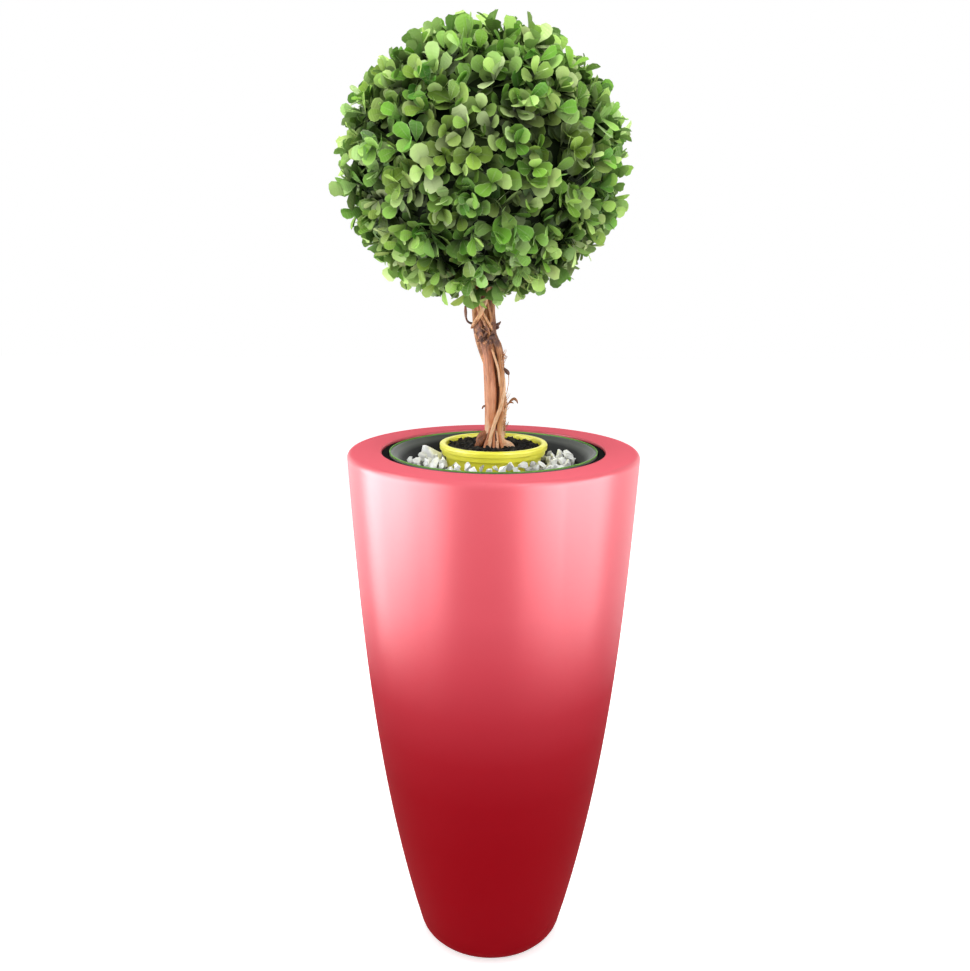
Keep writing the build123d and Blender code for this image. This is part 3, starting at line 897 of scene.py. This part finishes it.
roots = {
    "paths": (
        ((-1, -5.5, -8, 12), (-1, -5, 3, 10.6), (-1.4, -3.6, 12, 8.6), (-2, -2, 22, 6.4), -0.35),
        ((-4, -6, 27, 1.6), (-6.4, -9.4, 17, 1.9), (-9.4, -12.8, 9, 2), (-11.8, -15, 1, 1.9),
         (-13.6, -16.6, -6, 1.7), 0.45),
        ((-1.6, -7, 24, 1.5), (-3.2, -10.6, 15, 1.8), (-4.6, -14, 7, 1.8), (-5.6, -16.2, -1, 1.8),
         (-6.2, -17.6, -7, 1.6), 1.0),
        ((1, -7, 23, 1.3), (0.4, -10.6, 14, 1.5), (0, -13.8, 6, 1.6), (-0.4, -16.2, -2, 1.5), 0.55),
        ((3.4, -6.6, 23, 1.5), (4, -10.2, 13.6, 1.8), (4.6, -13.8, 6, 1.9), (5, -16, -2, 1.7), 1.1),
        ((6.6, -4.6, 21, 1.6), (8.4, -8, 12, 2), (10.4, -11.4, 5, 2.1), (12, -13.8, -3, 1.8), 0.75),
        ((8, -3, 10, 3), (13, -4.8, 8.6, 4.2), (18, -6, 6.6, 4.6), (22, -7, 4.6, 3.6), (25.4, -8, 1, 1.8),
         1.25),
        ((-8, -2, 17, 3.4), (-12, -3.6, 14, 4.2), (-16, -5.2, 10, 4.6), (-19.5, -6.4, 5.5, 3.8),
         (-22, -7.4, -1, 2.2), 0.15),
        ((-8, -1, 22, 2), (-12.6, -2, 20, 3.2), (-17, -3, 15.6, 3.4), (-20, -4, 10, 2), 0.3),
        ((-7, 5, 14, 3.4), (-12, 9, 8, 3.8), (-16, 13, 1, 3), (-19, 16, -6, 2), 0.4),
        ((2, 7, 14, 3.4), (4, 12, 8, 3.6), (7, 17, 0, 2.8), (9, 20, -6, 2), 0.5),
        ((9, 3, 10, 3), (14, 6, 7, 3.2), (19, 9, 2, 2.6), (23, 11, -4, 2), 0.7),
    ),
    "shape": {"sides": 14, "steps": 5, "rough": 0.22, "ridges": 0.25},
    "seed": 9,
}
twigs = {
    "stemPaths": (
        ((-23, -3, 152, 1.6), (-28, -3.4, 152.6, 1.5), (-31.6, -4, 154.6, 1.3), (-33.6, -4, 159, 1.2),
         (-34.2, -4, 166, 1.7), (-34.4, -4, 173, 1.2), -0.1),
        ((-9, -2, 54, 1), (-12.4, -2, 53, 1.2), (-14.2, -2, 50, 0.7), 0.0),
    ),
    "vinePaths": (
        ((11, -3, 100, 1.2), (14, -3.6, 97, 2.3), (16.6, -3.6, 94, 2.4), (18, -3.6, 91.6, 1), -0.2),
        ((17.4, -3.4, 92, 0.5), (17.8, -3.2, 84, 0.45), (16.6, -3, 76, 0.45), (15.2, -3, 68, 0.4), 0.6),
        ((0.6, -4, 149, 2), (3.6, -4.4, 151, 2.3), (6, -4.4, 153, 1.4), (7.6, -4.4, 155, 0.5), 0.0),
        ((1.6, -4, 146, 1.4), (4.2, -5, 147.4, 1.5), (5.6, -5, 149, 0.7), 0.1),
        ((-5, -7.4, 134.4, 1.2), (-2.6, -9, 137, 3.3), (0.4, -8.4, 140, 1.2), -0.3),
        ((13, -3, 52, 0.7), (17, -3, 56, 0.8), (21, -3, 60.6, 1.3), (24.6, -3, 62.6, 1.5),
         (27.4, -3, 60.4, 1.1), (29, -3, 57, 0.5), 0.35),
        ((14, -3, 54, 0.5), (18, -3, 57.4, 0.6), (21.4, -2, 58, 1), (24, -2, 57, 0.5), 0.4),
    ),
    "stemShape": {"sides": 8, "steps": 4, "rough": 0.3},
    "vineShape": {"sides": 8, "steps": 4, "rough": 0.35},
    "stemSeed": 40,
    "vineSeed": 50,
}
fibres = {
    # each tuft of torn bark: lowest, highest, across, reach and count
    "tufts": ((20, 66, 13.0, 6.0, 60), (98, 120, 10.0, 5.5, 34), (128, 152, -14.0, 9.0, 34)),
    "depth": -5,
    "acrossSway": (-2.5, 1.5),
    "depthSway": (-4, 3),
    "reachShare": (-0.3, 1),
    "rise": (-11, 11),
    # a fibre's bend: share of its reach, depth and share of its rise
    "bend": (0.6, -1.5, 0.5),
    "tipDepth": -1.2,
    "radii": (0.4, 0.34, 0.15),
    "tones": (0.2, 1.2),
    "shape": {"sides": 5, "steps": 3},
    "seed": 3,
}


def scaledKeys(keys):
    return [(x / 1000, y / 1000, rimTop + z / 1000, r / 1000) for x, y, z, r in keys]


def barkFinish(name, light, mid, dark, stretch=0.5):
    graph = newFinish(name, Specular_IOR_Level=0.15)
    spot = graph.node("ShaderNodeUVMap", uv_map="alongMap")
    streaked = graph.node("ShaderNodeMapping", {"Vector": spot, "Scale": (9.0, 5.0, 1.0)})
    values = {"Vector": streaked, "Scale": 2.2, "Detail": 6.0, "Roughness": 0.65}
    streak = graph.node("ShaderNodeTexNoise", values)
    patch = graph.grain(95, 4, (1, 1, 0.35), 0.6)
    # the strands are darker, with pits, where they cross
    height = graph.along("Z") - rimTop + graph.grain(60, 3) * 0.03
    knot = graph.spread(height, *stem["knotFoot"]) * graph.spread(height, *stem["knotTop"])
    pits = graph.spread(graph.grain(230, 4, (1, 1, 0.5), 0.7), 0.56, 0.42) * knot
    mixed = streak * 0.5 + patch * 0.35 + graph.stored("strandTone") * 0.34 - 0.1 - pits * 0.26
    stops = (0.14, 58, 30, 22), (0.36, *dark), (0.5, *mid), (0.62, *light), (0.82, 244, 214, 178)
    relief = streak * 0.7 + graph.grain(300, 5, (1, 1, stretch)) * 0.3
    return graph.paint(
        Base_Color=graph.ramp(mixed, *stops),
        Roughness=0.5 + streak * 0.3,
        Normal=graph.bump(relief, 0.0012, 0.7),
    )


def addPaths(tubes, paths, seed, shape):
    for k, path in enumerate(paths):
        tubes.add(scaledKeys(path[:-1]), seed=seed + k, tone=(path[-1], path[-1]), **shape)


stemTubes = TubeSet()
stemTubes.add(scaledKeys(stem["main"]), **stem["mainShape"])
addPaths(stemTubes, roots["paths"], roots["seed"], roots["shape"])
addPaths(stemTubes, twigs["stemPaths"], twigs["stemSeed"], twigs["stemShape"])
stemLook = barkFinish("smoothBark", (222, 150, 104), (194, 120, 76), (134, 78, 44))
newPiece("mainStem", stemTubes.mesh("mainStem"), "plant", "stem_bark", stemLook, "main_stem")

vineTubes = TubeSet()
vineTubes.add(scaledKeys(stem["side"]), **stem["sideShape"])
addPaths(vineTubes, strands["paths"], strands["seed"], strands["shape"])
addPaths(vineTubes, twigs["vinePaths"], twigs["vineSeed"], twigs["vineShape"])
pick = random.Random(fibres["seed"])
foot, waist, tip = fibres["radii"]
outShare, bendDepth, riseShare = fibres["bend"]
for low, high, across, reach, count in fibres["tufts"]:
    # torn bark that lies along the stem, with its ends loose
    for k in range(count):
        z = pick.uniform(low, high)
        x = across + pick.uniform(*fibres["acrossSway"])
        y = fibres["depth"] + pick.uniform(*fibres["depthSway"])
        out = pick.uniform(*fibres["reachShare"]) * reach
        rise = pick.uniform(*fibres["rise"])
        bent = (x + out * outShare, y + bendDepth, z + rise * riseShare, waist)
        loose = (x + out, y + fibres["tipDepth"], z + rise, tip)
        keys = scaledKeys(((x, y, z, foot), bent, loose))
        tone = pick.uniform(*fibres["tones"])
        vineTubes.add(keys, seed=k, tone=(tone, tone), **fibres["shape"])
vineLook = barkFinish("roughVine", (224, 164, 108), (168, 108, 60), (94, 52, 26), 0.2)
vineNodes = ("vine_1", "vine_2", "vine_3", "vine_4", "vine_wrap")
newPiece("vineStrands", vineTubes.mesh("vineStrands"), "plant", "vine_bark", vineLook, *vineNodes)
print("stem and vines made")


# the ball of leaves
leaves = {
    "kinds": 10,
    "kindSeed": 100,
    "length": 0.0244,
    "cup": 0.2,
    "curl": 0.12,
    # each row's share of the length and half width
    "rows": ((0.0, 0.03), (0.24, 0.15), (0.52, 0.315), (0.77, 0.355), (0.945, 0.225)),
    "notches": (-0.055, -0.04, 0.02),
    # each whorl's height, lean from the stalk, share of full size and count of leaves
    "whorls": ((0.012, 68, 1.0, 3), (0.020, 50, 1.0, 2), (0.027, 28, 0.84, 2)),
    "turnStep": 75,
    "turnSway": 26,
    "leanSway": 24,
    "roll": 0.45,
    "shortest": 0.82,
    "longest": 1.1,
    "cupShare": (0.2, 1.6),
    "curlShare": (-0.6, 2.2),
    "bend": 0.18,
    "stalkRadius": 0.0008,
    "stalkShares": (1.25, 0.9, 0.55),
    "stalkSides": 3,
    "seatDepth": 0.006,
    # each layer's spacing and share of the ball's size
    "layers": ((0.0182, 0.919), (0.021, 0.85)),
    "crowding": 30000.0,
    "smallest": 0.86,
    "largest": 1.14,
    "tilt": 0.5,
    "topGap": 0.4,
    "bareCap": 12,
    "squash": 1.07,
    "shadeFrom": 0.1405,
    "shadeTo": 0.167,
    "shadeDrop": 0.0005,
    "seed": 7,
}


def leafPoints(length, cup, curl, notch):
    points = []
    last = len(leaves["rows"]) - 1
    for row, (share, half) in enumerate(leaves["rows"]):
        for side in (-1, 0, 1):
            along = share - (notch if side == 0 and row == last else 0)
            lift = cup * abs(side) * half - curl * along * along
            points.append(Vector((along * length, side * half * length, lift * length)))
    return points


def sprigMesh(name, seed):
    pick = random.Random(seed)
    points, faces, maps, tones = [], [], [], []
    top = leaves["whorls"][-1][0]
    most = leaves["bend"]
    bend = Vector((pick.uniform(-most, most), pick.uniform(-most, most), 0))

    def axisAt(height):
        return bend * (height / top) ** 2 * top + Vector((0, 0, height))

    sides, rings = leaves["stalkSides"], len(leaves["stalkShares"])
    for k, thick in enumerate(leaves["stalkShares"]):
        height = -leaves["seatDepth"] + (top + leaves["seatDepth"]) * k / (rings - 1)
        for s, (cosine, sine) in enumerate(circle(sides)):
            out = Vector((cosine, sine, 0))
            points.append(axisAt(height) + out * leaves["stalkRadius"] * thick)
            tones.append(-1.0)
            if k:
                a, b = (k - 1) * sides + s, (k - 1) * sides + (s + 1) % sides
                faces.append((a, b, b + sides, a + sides))
                maps.append(((0.5, 0),) * 4)
    turnSway, leanSway = leaves["turnSway"], leaves["leanSway"]
    for n, (height, lean, share, count) in enumerate(leaves["whorls"]):
        for side in range(count):
            start = leaves["turnStep"] * n + 360 * side / count
            turn = math.radians(start + pick.uniform(-turnSway, turnSway))
            tip = math.radians(lean + pick.uniform(-leanSway, leanSway))
            length = leaves["length"] * share * pick.uniform(leaves["shortest"], leaves["longest"])
            way = Vector((math.sin(tip), 0, math.cos(tip)))
            up = Vector((-math.cos(tip), 0, math.sin(tip)))
            roll = pick.uniform(-leaves["roll"], leaves["roll"])
            across = Vector((0, 1, 0)) * math.cos(roll) + up * math.sin(roll)
            up = way.cross(across)
            seat = Matrix.Rotation(turn, 3, "Z") @ Matrix((way, across, up)).transposed()
            first = len(points)
            cup = leaves["cup"] * pick.uniform(*leaves["cupShare"])
            curl = leaves["curl"] * pick.uniform(*leaves["curlShare"])
            tone = pick.random()
            for point in leafPoints(length, cup, curl, pick.choice(leaves["notches"])):
                points.append(axisAt(height) + seat @ point)
                tones.append(tone)
            for row in range(len(leaves["rows"]) - 1):
                low, high = leaves["rows"][row][0], leaves["rows"][row + 1][0]
                for half in range(2):
                    a = first + row * 3 + half
                    faces.append((a, a + 3, a + 4, a + 1))
                    left, right = half / 2, (half + 1) / 2
                    maps.append(((left, low), (left, high), (right, high), (right, low)))
    mesh = meshFrom(name, points, faces)
    storeMap(mesh, "leafMap", maps)
    storeTone(mesh, "leafTone", tones)
    return mesh


def leafFinish():
    graph = newFinish("boxwoodLeaf", Specular_IOR_Level=0.06)
    spot = graph.node("ShaderNodeUVMap", uv_map="leafMap")
    split = graph.node("ShaderNodeSeparateXYZ", [spot], "X")
    along = split.beside("Y")
    offMiddle = split.maths("ABSOLUTE", split - 0.5) * 2
    leafTone, sprigTone = graph.stored("leafTone"), graph.stored("pieceTone")
    tone = sprigTone * 0.42 + leafTone * 0.42 + graph.grain(14, 3) * 0.5 - 0.17
    greens = graph.ramp(
        tone,
        (0.06, 44, 82, 18),
        (0.26, 98, 146, 50),
        (0.44, 155, 206, 82),
        (0.62, 202, 239, 132),
        (0.86, 232, 252, 186),
    )
    # some sprigs are moulded in a yellower or a fresher green
    batch = sprigTone.maths("FRACT", sprigTone * 7.3)
    body = graph.blend(graph.spread(batch, 0.62, 0.8) * 0.42, greens, tint(150, 166, 68))
    body = graph.blend(graph.spread(batch, 0.34, 0.16) * 0.42, body, tint(98, 176, 52))
    midrib = graph.spread(offMiddle, 0.16, 0.0) * graph.spread(along, 1.0, 0.4)
    edge = graph.spread(offMiddle, 0.82, 1.0)
    pale = graph.blend(midrib * 0.3 + edge * 0.34, body, tint(208, 228, 160))
    back = graph.node("ShaderNodeNewGeometry", out="Backfacing")
    sided = graph.blend(back * 0.5, pale, tint(138, 178, 104))
    # a stalk's tone lies below that of every leaf
    stalk = graph.spread(leafTone, -0.5, -0.9)
    dressed = graph.blend(stalk, sided, tint(104, 112, 80))
    # less light comes down between the sprigs than reaches their tips
    squash = (1, 1, leaves["squash"])
    middle = tuple(c * k for c, k in zip(ballCentre - Vector((0, 0, leaves["shadeDrop"])), squash))
    values = {0: graph.place(squash), 1: middle}
    reach = graph.node("ShaderNodeVectorMath", values, "Value", operation="DISTANCE")
    depth = graph.spread(reach, leaves["shadeFrom"], leaves["shadeTo"])
    shaded = graph.blend(0.92, dressed, tint(6, 16, 3))
    values = {"Vector": spot, "Scale": 2.4, "Distortion": 2.0}
    vein = graph.node("ShaderNodeTexWave", values, bands_direction="Y")
    return graph.paint(
        Base_Color=graph.blend(depth, shaded, dressed),
        Roughness=0.4 + graph.grain(200, 3) * 0.2,
        Normal=graph.bump(vein * 0.4 - midrib, 0.0006, 0.5),
    )


def ballBed(name, scale, rings=40, around=64):
    size = (ballBox[1] - ballBox[0]) / 2 * scale
    points = []
    first, last = leaves["topGap"], 180 - leaves["bareCap"]
    for ring in range(rings + 1):
        polar = math.radians(first + (last - first) * ring / rings)
        flat = math.sin(polar)
        for cosine, sine in circle(around):
            out = Vector((flat * cosine * size.x, flat * sine * size.y, math.cos(polar) * size.z))
            points.append(ballCentre + out)
    return meshFrom(name, points, gridFaces(rings + 1, around))


leafLook = leafFinish()
sprigSeeds = range(leaves["kindSeed"], leaves["kindSeed"] + leaves["kinds"])
sprigStock = stockOf("sprig", [sprigMesh("sprig", seed) for seed in sprigSeeds])
leafTree = scatterTree("scatterSprigs", sprigStock)
crowds = []
for k, (spacing, scale) in enumerate(leaves["layers"]):
    bed = ballBed("ballBed", scale)
    crowds.append(scattered(leafTree, bed, leaves, spacing=spacing, seed=leaves["seed"] + k, finish=leafLook))
leafMesh = joinedMesh("leafSprigs", crowds)
sprigNodes = ("sprigs_top", "sprigs_middle", "sprigs_bottom")
newPiece("leafSprigs", leafMesh, "plant", "leaf_green", leafLook, *sprigNodes)
clearStock(sprigStock)
print("leaves made", len(leafMesh.polygons), "faces")


# the floor, the light and the camera
studio = {
    "lens": 37.07,
    "cameraSpot": (-0.0116, -1.2, 0.902),
    "cameraDip": 13.49,
    "cameraRoll": -0.3,
    "floorSize": 14.0,
    "floorColour": (0.86, 0.86, 0.86, 1),
    "ambient": 0.55,
    "floorGlow": 0.56,
    # soft lamps that light the surfaces: place, aim, size and power
    "lamps": {
        "front": ((0, -2.2, 1.7), (0, 0, 0.6), (1.6, 1.6), 18.0),
        "top": ((-0.1, -0.55, 2.85), (0, 0, 0.8), (1.2, 1.2), 25.5),
        "left": ((-1.6, -0.3, 0.9), (0, 0, 0.6), (1.0, 1.4), 7.0),
        "right": ((1.6, -0.3, 0.9), (0, 0, 0.6), (1.0, 1.4), 6.0),
        "back": ((0, 1.9, 1.5), (0, 0.1, 0.68), (1.2, 0.8), 26.0),
    },
    # bright panels that only show in the gloss; each is three nested lamps, for a soft edge
    "panels": {
        "leftPanel": ((-0.72, -0.26, 0.50), (0, -0.06, 0.50), (0.95, 0.74), 35.0),
        "rightPanel": ((0.62, -0.45, 0.50), (0, -0.06, 0.50), (0.9, 0.74), 29.0),
        "leftBack": ((-0.80, 0.42, 0.26), (-0.1, 0, 0.26), (0.7, 0.9), 1.4),
        "rightBack": ((0.80, 0.30, 0.26), (0.1, 0, 0.26), (0.7, 0.9), 1.2),
        "leftArc": ((-1.13, 0.0, 1.60), (0, 0, 0.66), (0.5, 0.4), 9.0),
        "rightArc": ((0.62, -0.95, 1.60), (0, 0, 0.66), (0.5, 0.4), 9.0),
    },
    "nesting": (1.2, 0.85, 0.5),
}


def emitted(graph, kind, strength):
    return graph.node(kind, {"Color": (1, 1, 1, 1), "Strength": strength})


def whereSeen(graph, usual, seen):
    # another shader for the rays that show the background itself
    path = graph.node("ShaderNodeLightPath", out="Is Camera Ray")
    picked = path
    for label in ("Is Glossy Ray", "Is Transmission Ray"):
        picked = path.maths("MAXIMUM", picked, path.beside(label))
    return graph.node("ShaderNodeMixShader", [picked, usual, seen])


def stageFinish():
    # white where it is seen, but a shadow still shows on it
    plain = {"Roughness": 0.9, "Specular_IOR_Level": 0.0}
    graph = newFinish("paleFloor", Base_Color=studio["floorColour"], **plain)
    nodes = graph.tree.nodes
    lit = Wire(graph, nodes["Principled BSDF"].outputs[0])
    dark = emitted(graph, "ShaderNodeEmission", 0.0)
    glow = whereSeen(graph, dark, emitted(graph, "ShaderNodeEmission", studio["floorGlow"]))
    graph.feed(nodes["Material Output"].inputs[0], graph.node("ShaderNodeAddShader", [lit, glow]))
    return graph.material


half = studio["floorSize"] / 2
corners = [(-half, -half, 0), (half, -half, 0), (half, half, 0), (-half, half, 0)]
floorMesh = meshFrom("floor", corners, [(0, 1, 2, 3)])
floor = newObject("floor", floorMesh)
floorMesh.materials.append(stageFinish())

world = bpy.data.worlds.new("studioWorld")
bpy.context.scene.world = world
world.use_nodes = True
world.node_tree.nodes.clear()
sky = Graph(world.node_tree)
dim = emitted(sky, "ShaderNodeBackground", studio["ambient"])
white = emitted(sky, "ShaderNodeBackground", 1.0)
sky.node("ShaderNodeOutputWorld", [whereSeen(sky, dim, white)])


def addLamp(label, spot, aim, size, power):
    lamp = bpy.data.lights.new(label, "AREA")
    lamp.shape = "RECTANGLE"
    lamp.size, lamp.size_y = size
    lamp.energy = power
    holder = newObject(label, lamp)
    holder.location = spot
    holder.rotation_euler = (Vector(aim) - Vector(spot)).to_track_quat("-Z", "Y").to_euler()
    holder.visible_camera = False
    return holder


for label, facts in studio["lamps"].items():
    addLamp(label, *facts).visible_glossy = False
for label, (spot, aim, size, power) in studio["panels"].items():
    for k, share in enumerate(studio["nesting"]):
        nested = tuple(side * share for side in size)
        addLamp(f"{label}{k}", spot, aim, nested, power * share * share).visible_diffuse = False

lens = bpy.data.cameras.new("camera")
lens.lens = studio["lens"]
camera = newObject("camera", lens)
camera.location = studio["cameraSpot"]
dip, roll = math.radians(studio["cameraDip"]), math.radians(studio["cameraRoll"])
camera.rotation_euler = (math.radians(90) - dip, roll, 0)
bpy.context.scene.camera = camera
bpy.context.scene.view_settings.view_transform = "Standard"
print("studio ready")
